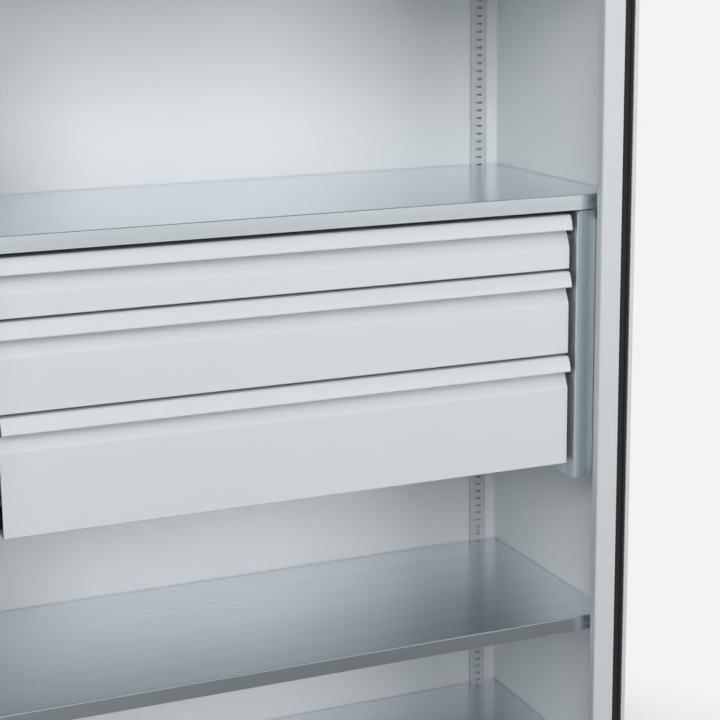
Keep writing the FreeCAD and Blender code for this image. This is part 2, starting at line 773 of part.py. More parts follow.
def make_slide_members(level, side, sign):
    """Fixed, intermediate and inner member of one telescopic slide."""
    fixed_half = "slide_height / 2"
    middle_half = f"{fixed_half} - slide_sheet - running_gap"
    inner_half = f"{middle_half} - slide_sheet - running_gap"
    middle_web = "housing_x - slide_sheet - running_gap"
    inner_edge = "housing_x - slide_lap - slide_sheet"
    z = f"slide_z_{level}"
    end = "slide_length"
    fixed = new_body(f"{level}_slide_fixed_{side}", y="slide_front_y", z=z)
    add(fixed, "XZ", "0", end,
        [channel(sign, "housing_x", "housing_x - slide_width + slide_lap", fixed_half)])
    middle = new_body(f"{level}_slide_middle_{side}", y="slide_front_y", z=z)
    add(middle, "XZ", "0", end,
        [channel(sign, middle_web, "housing_x - slide_width + slide_sheet + running_gap", middle_half)])
    inner = new_body(f"{level}_slide_inner_{side}", y="slide_front_y", z=z)
    add(inner, "XZ", "0", end, [channel(sign, "tray_half", inner_edge, inner_half)])
    web = ("housing_x - slide_sheet", "housing_x")
    start, stop = web if sign > 0 else (f"-1 * {web[1]}", f"-1 * ({web[0]})")
    screws = [("screw_inset", "0"), ("slide_length - screw_inset", "0")]
    cut(fixed, "YZ", start, stop, circles=screws, radius="screw_hole_radius")
    web = ("tray_half", "tray_half + slide_sheet")
    start, stop = web if sign > 0 else (f"-1 * ({web[1]})", f"-1 * {web[0]}")
    cut(inner, "YZ", start, stop, circles=screws, radius="screw_hole_radius")


def make_slide_screws():
    """Screws from outside the housing into the fixed slide members."""
    body = new_body("slide_screws")
    centres = slide_screw_centres("0", LEVELS)
    wall = "housing_x + housing_sheet"
    shanks = add(body, "YZ", "housing_x - slide_sheet", wall, circles=centres, radius="screw_diameter / 2")
    heads = add(body, "YZ", wall, f"{wall} + screw_head_height", circles=centres, radius="screw_head / 2")
    mirror(body, [shanks, heads])


# Drawers, each in the frame of its own handle top and front face

def front_section(height):
    """Outside and inside of the folded front: top flange, rolled handle, recess, face and hem."""
    outside = [
        ("top_flange", "0"), ("-1 * handle_top_reach", "0"),
        ("-1 * handle_waist_reach", "-1 * handle_waist_drop"),
        ("-1 * handle_nose_reach", "-1 * handle_height"), ("recess_depth", "-1 * handle_height"),
        ("0", "-1 * recess_drop"), ("0", f"-1 * {height}"), ("bottom_flange", f"-1 * {height}"),
    ]
    inside = [
        ("bottom_flange", f"front_sheet - {height}"), ("front_sheet", f"front_sheet - {height}"),
        ("front_sheet", "-1 * recess_drop"), ("recess_depth + front_sheet", "front_sheet - handle_height"),
        ("front_sheet - handle_nose_reach", "front_sheet - handle_height"),
        ("front_sheet - handle_waist_reach", "-1 * handle_waist_drop"),
        ("front_sheet / 2 - handle_top_reach", "-1 * front_sheet"), ("top_flange", "-1 * front_sheet"),
    ]
    return outside, inside


def rivet_centre():
    """The first rivet of a row, seen from above."""
    return [("rivet_margin - tray_half", "tray_front + rivet_setback")]


def repeat_rivets(body, features):
    """Row of rivets or rivet holes across the drawer."""
    repeat(body, features, "X", "2 * (tray_half - rivet_margin) / (rivet_count - 1)", "rivet_count")


def make_drawer_front(level):
    """Front folded from one sheet, with a handle along its top, cut back at both ends for the caps."""
    height = f"front_height_{level}"
    body = new_body(f"{level}_drawer_front", y="front_plane_y", z=f"handle_z_{level}")
    outside, inside = front_section(height)
    add(body, "YZ", "-1 * front_half", "front_half", [outside + inside])
    for outer, inner, radius in (
        (1, 6, "handle_top_radius"), (2, 5, "handle_face_radius"), (3, 4, "handle_nose_radius"),
        (5, 2, "belt_radius"), (6, 1, "hem_radius"),
    ):
        bend(body, "X", [outside[outer]], [inside[inner]], radius, "front_sheet")
    bend(body, "X", [inside[3]], [outside[4]], "recess_radius", "front_sheet")
    cap_seat = rectangle("-1 * handle_nose_reach - front_sheet", "tray_front",
                         "-1 * handle_height", "front_sheet")
    for start, end in (("handle_half", "front_half"), ("-1 * front_half", "-1 * handle_half")):
        cut(body, "YZ", start, end, [cap_seat])
    for low, high in (("-1 * front_sheet", "0"), (f"-1 * {height}", f"front_sheet - {height}")):
        hole = cut(body, "XY", low, high, circles=rivet_centre(), radius="rivet_hole_radius")
        repeat_rivets(body, [hole])


def make_handle_caps(level):
    """Plastic caps that close the two ends of the handle, flush with the ends of the front."""
    body = new_body(f"{level}_handle_caps", y="front_plane_y", z=f"handle_z_{level}")
    section = front_section("0")[0][1:4] + [("tray_front", "-1 * handle_height"), ("tray_front", "0")]
    flange = add(body, "YZ", "handle_half", "front_half", [section])
    plug = add(
        body, "YZ", "handle_half - cap_plug", "handle_half",
        [rectangle("0", "tray_front - cap_plug_inset", "cap_plug_inset - handle_height + front_sheet",
                   "-1 * front_sheet - cap_plug_inset")],
    )
    mirror(body, [flange, plug])
    for corner, radius in zip(section[:3], ("handle_top_radius", "handle_face_radius", "handle_nose_radius")):
        round_edges(body, "X", [corner], radius)


def make_drawer_tray(level):
    """Open box behind the front, with a rim turned inwards all round."""
    height = f"front_height_{level}"
    body = new_body(f"{level}_drawer_tray", y="front_plane_y", z=f"handle_z_{level}")
    bottom = f"front_sheet - {height}"
    top = "-1 * front_sheet"

    def inset(margin):
        return rectangle(f"{margin} - tray_half", f"tray_half - {margin}",
                         f"tray_front + {margin}", f"tray_rear - {margin}")

    add(body, "XY", bottom, top, [inset("0")])
    corners = [(f"{sign} * tray_half", end) for sign in SIDES.values() for end in ("tray_front", "tray_rear")]
    round_edges(body, "Z", corners, "tray_radius")
    cut(body, "XY", f"{bottom} + tray_sheet", f"{top} - tray_sheet", [inset("tray_sheet")])
    cut(body, "XY", f"{top} - tray_sheet", top, [inset("tray_rim")])
    screws = [
        (f"slide_setback + {along}", f"slide_rise - {height}")
        for along in ("screw_inset", "slide_length - screw_inset")
    ]
    for sign in SIDES.values():
        wall = ("tray_half - tray_sheet", "tray_half")
        start, end = wall if sign > 0 else (f"-1 * {wall[1]}", f"-1 * ({wall[0]})")
        cut(body, "YZ", start, end, circles=screws, radius="screw_hole_radius")
    for low, high in ((f"{top} - tray_sheet", top), (bottom, f"{bottom} + tray_sheet")):
        hole = cut(body, "XY", low, high, circles=rivet_centre(), radius="rivet_hole_radius")
        repeat_rivets(body, [hole])


def make_front_rivets(level):
    """Rivets that join the front's two flanges to the tray's rim and bottom."""
    body = new_body(f"{level}_front_rivets", y="front_plane_y", z=f"handle_z_{level}")
    features = []
    for head in ("0", f"front_sheet + tray_sheet - front_height_{level}"):
        tail = f"{head} - front_sheet - tray_sheet"
        for low, high, radius in (
            (head, f"{head} + rivet_head_height", "rivet_head / 2"),
            (tail, head, "rivet_diameter / 2"),
            (f"{tail} - rivet_tail_height", tail, "rivet_tail / 2"),
        ):
            features.append(add(body, "XY", low, high, circles=rivet_centre(), radius=radius))
    repeat_rivets(body, features)


def make_tray_screws(level):
    """Screws from inside the tray into the inner slide members."""
    body = new_body(f"{level}_tray_screws", y="slide_front_y", z=f"slide_z_{level}")
    centres = [("screw_inset", "0"), ("slide_length - screw_inset", "0")]
    wall = "tray_half - tray_sheet"
    shanks = add(body, "YZ", wall, "tray_half + slide_sheet", circles=centres, radius="screw_diameter / 2")
    heads = add(body, "YZ", f"{wall} - screw_head_height", wall, circles=centres, radius="screw_head / 2")
    mirror(body, [shanks, heads])


def make_cabinet():
    """Every sub-part, from the ground up."""
    make_base_panel()
    make_levelling_feet()
    make_top_panel()
    make_ceiling_panel()
    make_back_panel()
    make_frame_rail("sill_rail", "base_top", "sill_height", "down")
    make_frame_rail("header_rail", "cover_bottom - header_height", "header_height", "up")
    for side, sign in SIDES.items():
        make_side_skin(side, sign)
        make_side_liner(side, sign)
        make_front_post(side, sign)
        make_seal_strip(side, sign)
        make_rear_rail(side, sign)
        make_housing_side(side, sign)
    for level in ("bottom", "lower", "middle", "upper"):
        make_shelf(level)
    make_shelf_clips()
    make_housing_brackets()
    make_housing_ties()
    make_slide_screws()
    for level in LEVELS:
        for side, sign in SIDES.items():
            make_slide_members(level, side, sign)
        make_drawer_front(level)
        make_handle_caps(level)
        make_drawer_tray(level)
        make_front_rivets(level)
        make_tray_screws(level)


def check_and_write():
    """Stops on any failed feature or bad shape, then writes one file for each sub-part."""
    doc.recompute()
    bodies = [item for item in doc.Objects if item.TypeId == "PartDesign::Body"]
    for item in doc.Objects:
        if "Invalid" in item.State or "Error" in item.State:
            raise ValueError(f"{item.Label}: {item.State}")
    for body in bodies:
        if body.Shape.isNull() or not body.Shape.isValid() or not body.Shape.Solids:
            raise ValueError(f"{body.Label}: bad shape")
    os.makedirs("parts", exist_ok=True)
    for body in bodies:
        body.Shape.exportStep(f"parts/{body.Label}.step")
        print(f"{body.Label}: {len(body.Shape.Solids)} solids, {body.Shape.Volume / 1000:.1f} cm3")
    print(f"{len(bodies)} sub-parts")


fill_sheets()
make_cabinet()
check_and_write()
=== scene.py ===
"""Steel cabinet with galvanised shelves and three hung drawers: finishes, small parts and studio."""

import math

import bmesh
import bpy
from mathutils import Euler, Matrix, Vector


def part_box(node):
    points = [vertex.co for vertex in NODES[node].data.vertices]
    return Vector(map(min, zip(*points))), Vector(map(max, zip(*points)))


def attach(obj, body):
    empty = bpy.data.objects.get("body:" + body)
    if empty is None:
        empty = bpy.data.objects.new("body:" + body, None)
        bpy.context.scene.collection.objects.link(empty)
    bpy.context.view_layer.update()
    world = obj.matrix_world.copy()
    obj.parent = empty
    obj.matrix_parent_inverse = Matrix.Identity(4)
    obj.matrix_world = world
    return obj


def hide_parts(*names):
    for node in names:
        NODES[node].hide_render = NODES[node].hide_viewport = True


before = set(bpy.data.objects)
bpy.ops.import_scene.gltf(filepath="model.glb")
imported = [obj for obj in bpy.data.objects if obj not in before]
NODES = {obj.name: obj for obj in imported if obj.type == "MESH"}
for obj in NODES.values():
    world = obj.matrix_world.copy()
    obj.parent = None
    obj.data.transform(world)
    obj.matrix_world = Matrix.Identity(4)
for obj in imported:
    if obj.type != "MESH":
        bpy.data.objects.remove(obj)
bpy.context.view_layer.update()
LEVELS = ("upper", "middle", "lower")
# The outer skins, top and base take the darker frame grey in place of the grey their slots name, which
# paints shade on them
OUTSIDE_PAINTED_DARKER = ("side_skin_left", "side_skin_right", "top_panel", "base_panel")
MM = 0.001

# Colours, as linear red, green and blue

# One light grey powder coat in three copies whose differences are painted light and shade: the carcass
# copy is lighter, to paint light into the shaded inside, and the frame's and the fronts' copies are
# darker, to paint shade on them
PAINT_CARCASS_LIGHTENED = (0.755, 0.776, 0.787)
PAINT_FRAME_DARKENED = (0.545, 0.568, 0.586)
PAINT_FRONT_DARKENED = (0.59, 0.61, 0.626)
GALVANISED = (0.755, 0.825, 0.855)
GALVANISED_DULL = (0.56, 0.67, 0.705)
ZINC = (0.62, 0.65, 0.67)
RUBBER = (0.0135, 0.0143, 0.0158)
CAP = (0.035, 0.055, 0.06)
FOOT = (0.02, 0.02, 0.021)
BACKDROP = (0.895, 0.895, 0.895)
CEILING = (0.3, 0.3, 0.3)

# Brackets are darker than the shelves' zinc, and screws and rivets lighter than the slides'

BRACKET_SHADE = 0.8
FASTENER_SHADE = 1.08


class Shader:
    """The node tree of one material or world, with short calls that make nodes and join them."""

    def __init__(self, owner):
        self.owner = owner
        self.owner.use_nodes = True
        self.tree = self.owner.node_tree
        self.tree.nodes.clear()

    def node(self, kind, settings=None, **inputs):
        """Makes a node, sets its properties and its inputs; an input is a value or an output to join."""
        made = self.tree.nodes.new(kind)
        for key, value in (settings or {}).items():
            setattr(made, key, value)
        for key, value in inputs.items():
            self.put(made.inputs[key.replace("_", " ")], value)
        return made

    def put(self, socket, value):
        """Joins an output to a socket, or sets the socket to a number or colour."""
        if isinstance(value, bpy.types.NodeSocket):
            self.tree.links.new(value, socket)
        elif isinstance(value, tuple) and socket.type == "RGBA":
            socket.default_value = (*value[:3], 1.0)
        else:
            socket.default_value = value

    def vector(self, operation, first, second):
        """The product or difference of two vectors."""
        made = self.node("ShaderNodeVectorMath", {"operation": operation})
        self.put(made.inputs[0], first)
        self.put(made.inputs[1], second)
        return made.outputs[0]

    def place(self, stretch=(1, 1, 1)):
        """The point on the piece in its own metres, scaled along each axis."""
        return self.vector("MULTIPLY", self.node("ShaderNodeTexCoord").outputs["Object"], stretch)

    def noise(self, scale, detail=2.0, stretch=(1, 1, 1), roughness=0.5, seed=0.0):
        """Cloud noise between 0 and 1, with so many blobs to the metre."""
        made = self.node(
            "ShaderNodeTexNoise", {"noise_dimensions": "4D"},
            Vector=self.place(stretch), W=seed, Scale=scale, Detail=detail, Roughness=roughness,
        )
        return made.outputs["Fac"]

    def spread(self, value, low, high, start=0.0, end=1.0):
        """A value between start and end, carried over to low and high."""
        made = self.node("ShaderNodeMapRange", Value=value)
        for key, number in (("From Min", start), ("From Max", end), ("To Min", low), ("To Max", high)):
            made.inputs[key].default_value = number
        return made.outputs["Result"]

    def math(self, operation, first, second):
        """The sum, product or the like of two values."""
        made = self.node("ShaderNodeMath", {"operation": operation})
        self.put(made.inputs[0], first)
        self.put(made.inputs[1], second)
        return made.outputs[0]

    def reach(self, spot, stretch):
        """The distance from a spot in the scene, scaled along each axis."""
        position = self.node("ShaderNodeNewGeometry").outputs["Position"]
        offset = self.vector("SUBTRACT", position, spot)
        length = self.node("ShaderNodeVectorMath", {"operation": "LENGTH"})
        self.put(length.inputs[0], self.vector("MULTIPLY", offset, stretch))
        return length.outputs["Value"]

    def rays(self):
        """Marks of a ray, 0 or 1 each: from the eye, from a mirror, from a mirror or a clear piece."""
        path = self.node("ShaderNodeLightPath")
        eye = path.outputs["Is Camera Ray"]
        gloss = path.outputs["Is Glossy Ray"]
        return eye, gloss, self.math("MAXIMUM", gloss, path.outputs["Is Transmission Ray"])

    def mix(self, factor, first, second):
        """One colour turning into another by a factor."""
        made = self.node("ShaderNodeMix", {"data_type": "RGBA"})
        self.put(made.inputs["Factor"], factor)
        self.put(made.inputs["A"], first)
        self.put(made.inputs["B"], second)
        return made.outputs["Result"]

    def blend(self, factor, first, second):
        """One shader turning into another by a factor."""
        made = self.node("ShaderNodeMixShader", Fac=factor)
        self.put(made.inputs[1], first.outputs[0])
        self.put(made.inputs[2], second.outputs[0])
        return made

    def bump(self, height, strength, distance, under=None):
        """Small relief in the surface, over another relief if there is one."""
        made = self.node("ShaderNodeBump", Height=height, Strength=strength, Distance=distance)
        if under is not None:
            self.put(made.inputs["Normal"], under)
        return made.outputs["Normal"]

    def end(self, shader, kind="ShaderNodeOutputMaterial"):
        """Joins a shader to the output, and gives the finished material or world."""
        self.put(self.node(kind).inputs["Surface"], shader.outputs[0])
        return self.owner

    def surface(self, **inputs):
        """The material that these inputs of its shader make."""
        return self.end(self.node("ShaderNodeBsdfPrincipled", **inputs))


def times(colour, factor):
    """A colour made lighter or darker."""
    return tuple(min(1.0, part * factor) for part in colour)


def stretched(along, run, across):
    """A stretch of run along one axis and of across along the other two."""
    return tuple(run if axis == along else across for axis in "XYZ")


# Materials

def powder_coat(name, colour, gloss=0.38):
    """Satin powder coating: slight clouds in the colour, fine orange peel, a few pin-point specks."""
    shader = Shader(bpy.data.materials.new(name))
    clouds = shader.spread(shader.noise(scale=2.6, detail=2.0), 0.0, 1.0, start=0.2, end=0.8)
    base = shader.mix(clouds, times(colour, 0.985), times(colour, 1.01))
    specks = shader.spread(shader.noise(scale=1500, detail=1.0), 0.0, 0.3, start=0.72, end=0.82)
    base = shader.mix(specks, base, times(colour, 0.85))
    haze = shader.noise(scale=16, detail=2.0)
    roughness = shader.spread(haze, gloss - 0.015, gloss + 0.025, start=0.2, end=0.8)
    peel = shader.bump(shader.noise(scale=420, detail=2.0), strength=0.04, distance=0.0001)
    grit = shader.bump(shader.noise(scale=2600, detail=1.0), strength=0.02, distance=0.00005, under=peel)
    return shader.surface(Base_Color=base, Roughness=roughness, Normal=grit)


def galvanised(name, colour, along, gloss=0.2, band_and_reflection=0.03, reflection_hue=(1.0, 1.0, 1.0), metal=1.0,
               seed=0.0):
    """Zinc-coated sheet: rolled bands and fine grain along one axis, faint crystals, cloudy sheen.
    Strong, tinted bands paint reflections into the colour, as on the drawer housings.
    """
    shader = Shader(bpy.data.materials.new(name))
    grain = shader.noise(scale=3, detail=4.0, stretch=stretched(along, 0.8, 260.0), roughness=0.6)
    bands = stretched(along, 0.4, 70.0)
    # Faint bands are rolling marks; strong, tinted bands are painted reflections of the surroundings
    rolled_and_reflected = shader.noise(scale=1, detail=1.0, stretch=bands, roughness=0.4, seed=seed)
    crystals = shader.node("ShaderNodeTexVoronoi", Vector=shader.place(), Scale=210.0)
    flake = shader.node("ShaderNodeSeparateColor", Color=crystals.outputs["Color"]).outputs[0]
    pale = tuple(part * (1 + band_and_reflection) * hue for part, hue in zip(colour, reflection_hue))
    paler = shader.spread(rolled_and_reflected, 0.0, 1.0, start=0.35, end=0.65)
    base = shader.mix(paler, times(colour, 1 - band_and_reflection), pale)
    base = shader.mix(shader.spread(grain, 0.0, 0.25, start=0.3, end=0.7), base, times(colour, 1.06))
    base = shader.mix(shader.spread(flake, 0.0, 0.08), base, times(colour, 1.1))
    clouds = shader.noise(scale=4.5, detail=3.0)
    patchy = shader.spread(clouds, gloss - 0.03, gloss + 0.02, start=0.2, end=0.8)
    roughness = shader.math("ADD", patchy, shader.spread(grain, 0.0, 0.05))
    relief = shader.bump(grain, strength=0.03, distance=0.0001)
    return shader.surface(Base_Color=base, Metallic=metal, Roughness=roughness, Normal=relief)


def plated(name, colour, gloss):
    """Bright zinc plating, with faint haze."""
    shader = Shader(bpy.data.materials.new(name))
    haze = shader.spread(shader.noise(scale=60, detail=3.0), 0.0, 1.0, start=0.3, end=0.7)
    base = shader.mix(haze, times(colour, 0.9), times(colour, 1.06))
    sheen = shader.noise(scale=180, detail=3.0)
    roughness = shader.spread(sheen, gloss - 0.04, gloss + 0.04, start=0.3, end=0.7)
    relief = shader.bump(shader.noise(scale=900, detail=2.0), strength=0.05, distance=0.0001)
    return shader.surface(Base_Color=base, Metallic=1.0, Roughness=roughness, Normal=relief)


def rubber(name, colour):
    """Matt extruded rubber, with drawn lines along its length."""
    shader = Shader(bpy.data.materials.new(name))
    lines = shader.noise(scale=4, detail=3.0, stretch=stretched("Z", 2, 220))
    base = shader.mix(lines, times(colour, 0.8), times(colour, 1.35))
    roughness = shader.spread(shader.noise(scale=150, detail=3.0), 0.64, 0.78, start=0.3, end=0.7)
    relief = shader.bump(lines, strength=0.15, distance=0.0002)
    speckle = shader.noise(scale=1800, detail=2.0)
    pores = shader.bump(speckle, strength=0.12, distance=0.0001, under=relief)
    return shader.surface(Base_Color=base, Roughness=roughness, Specular_IOR_Level=0.35, Normal=pores)


def moulded(name, colour):
    """Moulded plastic with a fine eroded grain."""
    shader = Shader(bpy.data.materials.new(name))
    base = shader.mix(shader.noise(scale=40, detail=3.0), times(colour, 0.85), times(colour, 1.25))
    roughness = shader.spread(shader.noise(scale=300, detail=2.0), 0.42, 0.56, start=0.3, end=0.7)
    relief = shader.bump(shader.noise(scale=1400, detail=2.0), strength=0.22, distance=0.0001)
    return shader.surface(Base_Color=base, Roughness=roughness, Normal=relief)


FINISHES = {
    # The carcass, frame and front paints are one grey, made lighter or darker by painted light and shade
    "carcass_paint": powder_coat("carcass_paint", PAINT_CARCASS_LIGHTENED),
    "frame_paint": powder_coat("frame_paint", PAINT_FRAME_DARKENED),
    "front_paint": powder_coat("front_paint", PAINT_FRONT_DARKENED, gloss=0.32),
    "tray_paint": powder_coat("tray_paint", PAINT_CARCASS_LIGHTENED, gloss=0.42),
    "galvanised_shelf": galvanised("galvanised_shelf", GALVANISED, "X"),
    # Painted reflections: strong, warm-tinted vertical bands in the zinc's colour, placed by the seed
    "galvanised_housing": galvanised(
        "galvanised_housing", GALVANISED_DULL, "Z",
        gloss=0.34, band_and_reflection=0.16, reflection_hue=(1.12, 1.0, 0.95), metal=0.72, seed=4.7,
    ),
    "galvanised_bracket": galvanised(
        "galvanised_bracket", times(GALVANISED, BRACKET_SHADE), "Z", gloss=0.32,
    ),
    "slide_zinc": plated("slide_zinc", ZINC, gloss=0.36),
    "zinc_fasteners": plated("zinc_fasteners", times(ZINC, FASTENER_SHADE), gloss=0.2),
    "seal_rubber": rubber("seal_rubber", RUBBER),
    "cap_plastic": moulded("cap_plastic", CAP),
    "foot_plastic": moulded("foot_plastic", FOOT),
}


def finish_nodes():
    """Gives each piece of the frame the finish that its slot names, and the outside panels the darker
    frame_paint grey, which paints shade on them.
    """
    for name, node in NODES.items():
        for slot in node.material_slots:
            finish = "frame_paint" if name in OUTSIDE_PAINTED_DARKER else slot.material.name.split(".")[0]
            slot.material = FINISHES[finish]


# Small parts

# Vertices in the same hundredth of a millimetre count as one: steps to the metre, and decimal places

JOIN_STEPS = 1e5
JOIN_PLACES = 5

# Edges that turn by more degrees than this are drawn sharp

SHARP_ANGLE = 35

# Lengths in metres, and outlines as shares of a radius and of a height

SCREW_HEAD_HEIGHT = 2 * MM
SCREW_RADIUS = 1.75 * MM
SCREW_PITCH = 0.6 * MM
SCREW_THREAD_DEPTH = 0.14
SCREW_DOME = ((0.4, 0.0), (1.0, 0.0), (1.0, 0.35), (0.93, 0.68), (0.82, 0.87), (0.7, 0.97))
RECESS_ARM = 0.13
RECESS_REACH = 0.56
RECESS_POINTS = 24
RECESS_LEVELS = ((1.0, 1.0), (0.85, 0.45), (0.4, 0.36))
RIVET_HEAD_HEIGHT = 1 * MM
RIVET_TAIL_HEIGHT = 0.8 * MM
RIVET_RADIUS = 1.6 * MM
RIVET_TAIL_RADIUS = 2.5 * MM
RIVET_TAIL = ((0.92, 0.0), (1.0, 0.3), (0.94, 0.8), (0.75, 1.0), (0.4, 1.0), (0.3, 0.6), (0.0, 0.55))
RIVET_DOME_STEPS = 7
RIVET_SEGMENTS = 24
THREAD_SEGMENTS = 24
THREAD_STEPS_PER_TURN = 6
THREAD_TIP = 0.8
THREAD_TIP_GROWTH = 0.2
STUD_RADIUS = 5 * MM
STUD_PITCH = 1.5 * MM
STUD_THREAD_DEPTH = 0.1
NUT_SIDES = 6
NUT_RADIUS = 9.5 * MM
NUT_FACE_RADIUS = NUT_RADIUS * 0.9
NUT_CHAMFER = 0.5 * MM
PAD_HEIGHT = 8 * MM
PAD_FLUTES = 18
PAD_POINTS_PER_FLUTE = 8
PAD_SIDE = (
    (0, 0), (0.5, 0), (0.9, 0), (0.97, 0.05), (1.0, 0.16), (1.0, 0.4), (1.0, 0.62), (0.985, 0.76),
    (0.94, 0.84), (0.8, 0.88), (0.55, 0.93), (0.45, 1.0), (0, 1.0),
)
FLUTE_START = 0.1 * PAD_HEIGHT
FLUTE_END = 0.75 * PAD_HEIGHT
FLUTE_DEPTH = 0.035


def solids(name):
    """The lowest and highest corner of each separate solid of a node, in a fixed order."""
    mesh = NODES[name].data
    points = {}
    joined = {}

    def top(key):
        while joined[key] != key:
            key = joined[key]
        return key

    keys = []
    for vertex in mesh.vertices:
        key = tuple(round(part * JOIN_STEPS) for part in vertex.co)
        keys.append(key)
        points[key] = vertex.co
        joined.setdefault(key, key)
    for edge in mesh.edges:
        first, second = (top(keys[index]) for index in edge.vertices)
        joined[first] = second
    groups = {}
    for key, point in points.items():
        groups.setdefault(top(key), []).append(point)
    boxes = []
    for group in groups.values():
        low = Vector([min(point[axis] for point in group) for axis in range(3)])
        high = Vector([max(point[axis] for point in group) for axis in range(3)])
        boxes.append((low, high))
    return sorted(boxes, key=lambda box: tuple(round(part, JOIN_PLACES) for part in (*box[0], *box[1])))


def revolve(mesh, profile, place, segments, wave=None):
    """Adds a turned solid: profile is (radius, height) from the axis round to the axis again."""
    rings = []
    for radius, height in profile:
        if radius == 0:
            rings.append([mesh.verts.new(place @ Vector((0, 0, height)))])
            continue
        ring = []
        for step in range(segments):
            angle = 2 * math.pi * step / segments
            reach = radius * (wave(angle, height) if wave else 1)
            point = Vector((reach * math.cos(angle), reach * math.sin(angle), height))
            ring.append(mesh.verts.new(place @ point))
        rings.append(ring)
    for first, second in zip(rings, rings[1:]):
        for step in range(segments):
            after = (step + 1) % segments
            around = [first[step % len(first)], first[after % len(first)]]
            around += [second[after % len(second)], second[step % len(second)]]
            corners = list(dict.fromkeys(around))
            if len(corners) > 2:
                mesh.faces.new(corners)


def piece_from(mesh, name, body, slot, *nodes):
    """Turns a finished mesh into a piece that rides on a body and stands for the given nodes."""
    bmesh.ops.recalc_face_normals(mesh, faces=mesh.faces)
    data = bpy.data.meshes.new(name)
    mesh.to_mesh(data)
    mesh.free()
    for face in data.polygons:
        face.use_smooth = True
    data.set_sharp_from_angle(angle=math.radians(SHARP_ANGLE))
    data.materials.append(FINISHES[slot])
    piece = bpy.data.objects.new(name, data)
    bpy.context.scene.collection.objects.link(piece)
    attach(piece, body)
    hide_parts(*nodes)


def cross_points(scale):
    """The outline of a cross recess, with as many points as the circle round it."""
    arm, reach = RECESS_ARM * scale, RECESS_REACH * scale
    half = (arm + reach) / 2
    quarter = [(reach, 0.0), (reach, arm), (half, arm), (arm, arm), (arm, half), (arm, reach)]
    points = []
    for turn in range(4):
        cos = math.cos(turn * math.pi / 2)
        sin = math.sin(turn * math.pi / 2)
        points += [(x * cos - y * sin, x * sin + y * cos) for x, y in quarter]
    return points


def add_thread(mesh, place, radius, low, high, pitch, depth):
    """A closed rod with a helical thread, a little thinner at its low end."""
    levels = max(2, round((high - low) / pitch * THREAD_STEPS_PER_TURN))

    def wave(angle, height):
        crest = 0.5 - 0.5 * math.cos(angle - 2 * math.pi * height / pitch)
        start = min(1.0, THREAD_TIP + THREAD_TIP_GROWTH * (height - low) / pitch)
        return (1 - depth * crest) * start

    profile = [(0, low)]
    profile += [(radius, low + (high - low) * level / levels) for level in range(levels + 1)]
    revolve(mesh, profile + [(0, high)], place, THREAD_SEGMENTS, wave)


def add_screw(mesh, place, radius, shank):
    """Pan head with a cross recess over a short threaded shank; the head's seat is at height 0."""
    circle = [2 * math.pi * step / RECESS_POINTS for step in range(RECESS_POINTS)]
    rings = []
    for reach, height in SCREW_DOME:
        rings.append([(reach * math.cos(angle), reach * math.sin(angle), height) for angle in circle])
    for scale, height in RECESS_LEVELS:
        rings.append([(x, y, height) for x, y in cross_points(scale)])
    size = Vector((radius, radius, SCREW_HEAD_HEIGHT))
    levels = [[mesh.verts.new(place @ (Vector(point) * size)) for point in ring] for ring in rings]
    for lower, upper in zip(levels, levels[1:]):
        for step in range(RECESS_POINTS):
            after = (step + 1) % RECESS_POINTS
            mesh.faces.new((lower[step], lower[after], upper[after], upper[step]))
    mesh.faces.new(levels[-1])
    mesh.faces.new(list(reversed(levels[0])))
    add_thread(mesh, place, SCREW_RADIUS, -shank, 0.0, SCREW_PITCH, SCREW_THREAD_DEPTH)


def add_rivet(mesh, place, radius, shank):
    """Domed rivet, with the set tail under the second sheet; the head's seat is at height 0."""
    profile = []
    for step in range(RIVET_DOME_STEPS + 1):
        angle = math.pi / 2 * step / RIVET_DOME_STEPS
        profile.append((radius * math.sin(angle), RIVET_HEAD_HEIGHT * math.cos(angle)))
    profile += [(RIVET_RADIUS, 0.0), (RIVET_RADIUS, -shank)]
    for reach, depth in RIVET_TAIL:
        profile.append((reach * RIVET_TAIL_RADIUS, -shank - depth * RIVET_TAIL_HEIGHT))
    revolve(mesh, profile, place, RIVET_SEGMENTS)


def add_fasteners(mesh, name, toward, add_one, head_height, tail_height):
    """One fastener for each solid of a node; toward gives the direction that its head faces."""
    for low, high in solids(name):
        facing = toward(low)
        along = max(range(3), key=lambda axis: abs(facing[axis]))
        across = [axis for axis in range(3) if axis != along]
        seat = (low + high) / 2
        seat[along] = high[along] if facing[along] > 0 else low[along]
        seat -= facing * head_height
        radius = (high[across[0]] - low[across[0]]) / 2
        shank = high[along] - low[along] - head_height - tail_height
        turn = Vector((0, 0, 1)).rotation_difference(facing).to_matrix().to_4x4()
        add_one(mesh, Matrix.Translation(seat) @ turn, radius, shank)


def outward(low):
    """Away from the middle plane of the cabinet."""
    return Vector((1 if low.x > 0 else -1, 0, 0))


def inward(low):
    """Towards the middle plane of the cabinet."""
    return -outward(low)


def upward(low):
    """Straight up."""
    return Vector((0, 0, 1))


def make_fasteners():
    """Slide screws in the housing, and each drawer's screws and rivets."""
    groups = [("slide_screws", "root", outward, add_screw, SCREW_HEAD_HEIGHT, 0.0)]
    for level in LEVELS:
        body = f"{level}_drawer"
        screws, rivets = f"{level}_tray_screws", f"{level}_front_rivets"
        groups.append((screws, body, inward, add_screw, SCREW_HEAD_HEIGHT, 0.0))
        groups.append((rivets, body, upward, add_rivet, RIVET_HEAD_HEIGHT, RIVET_TAIL_HEIGHT))
    for name, body, toward, add_one, head, tail in groups:
        mesh = bmesh.new()
        add_fasteners(mesh, name, toward, add_one, head, tail)
        piece_from(mesh, f"{name}_detail", body, "zinc_fasteners", name)


def flutes(angle, height):
    """The share of a pad's radius that its fluted side has at an angle and a height."""
    depth = FLUTE_DEPTH if FLUTE_START < height < FLUTE_END else 0.0
    return 1 - depth * (0.5 + 0.5 * math.cos(PAD_FLUTES * angle)) ** 3


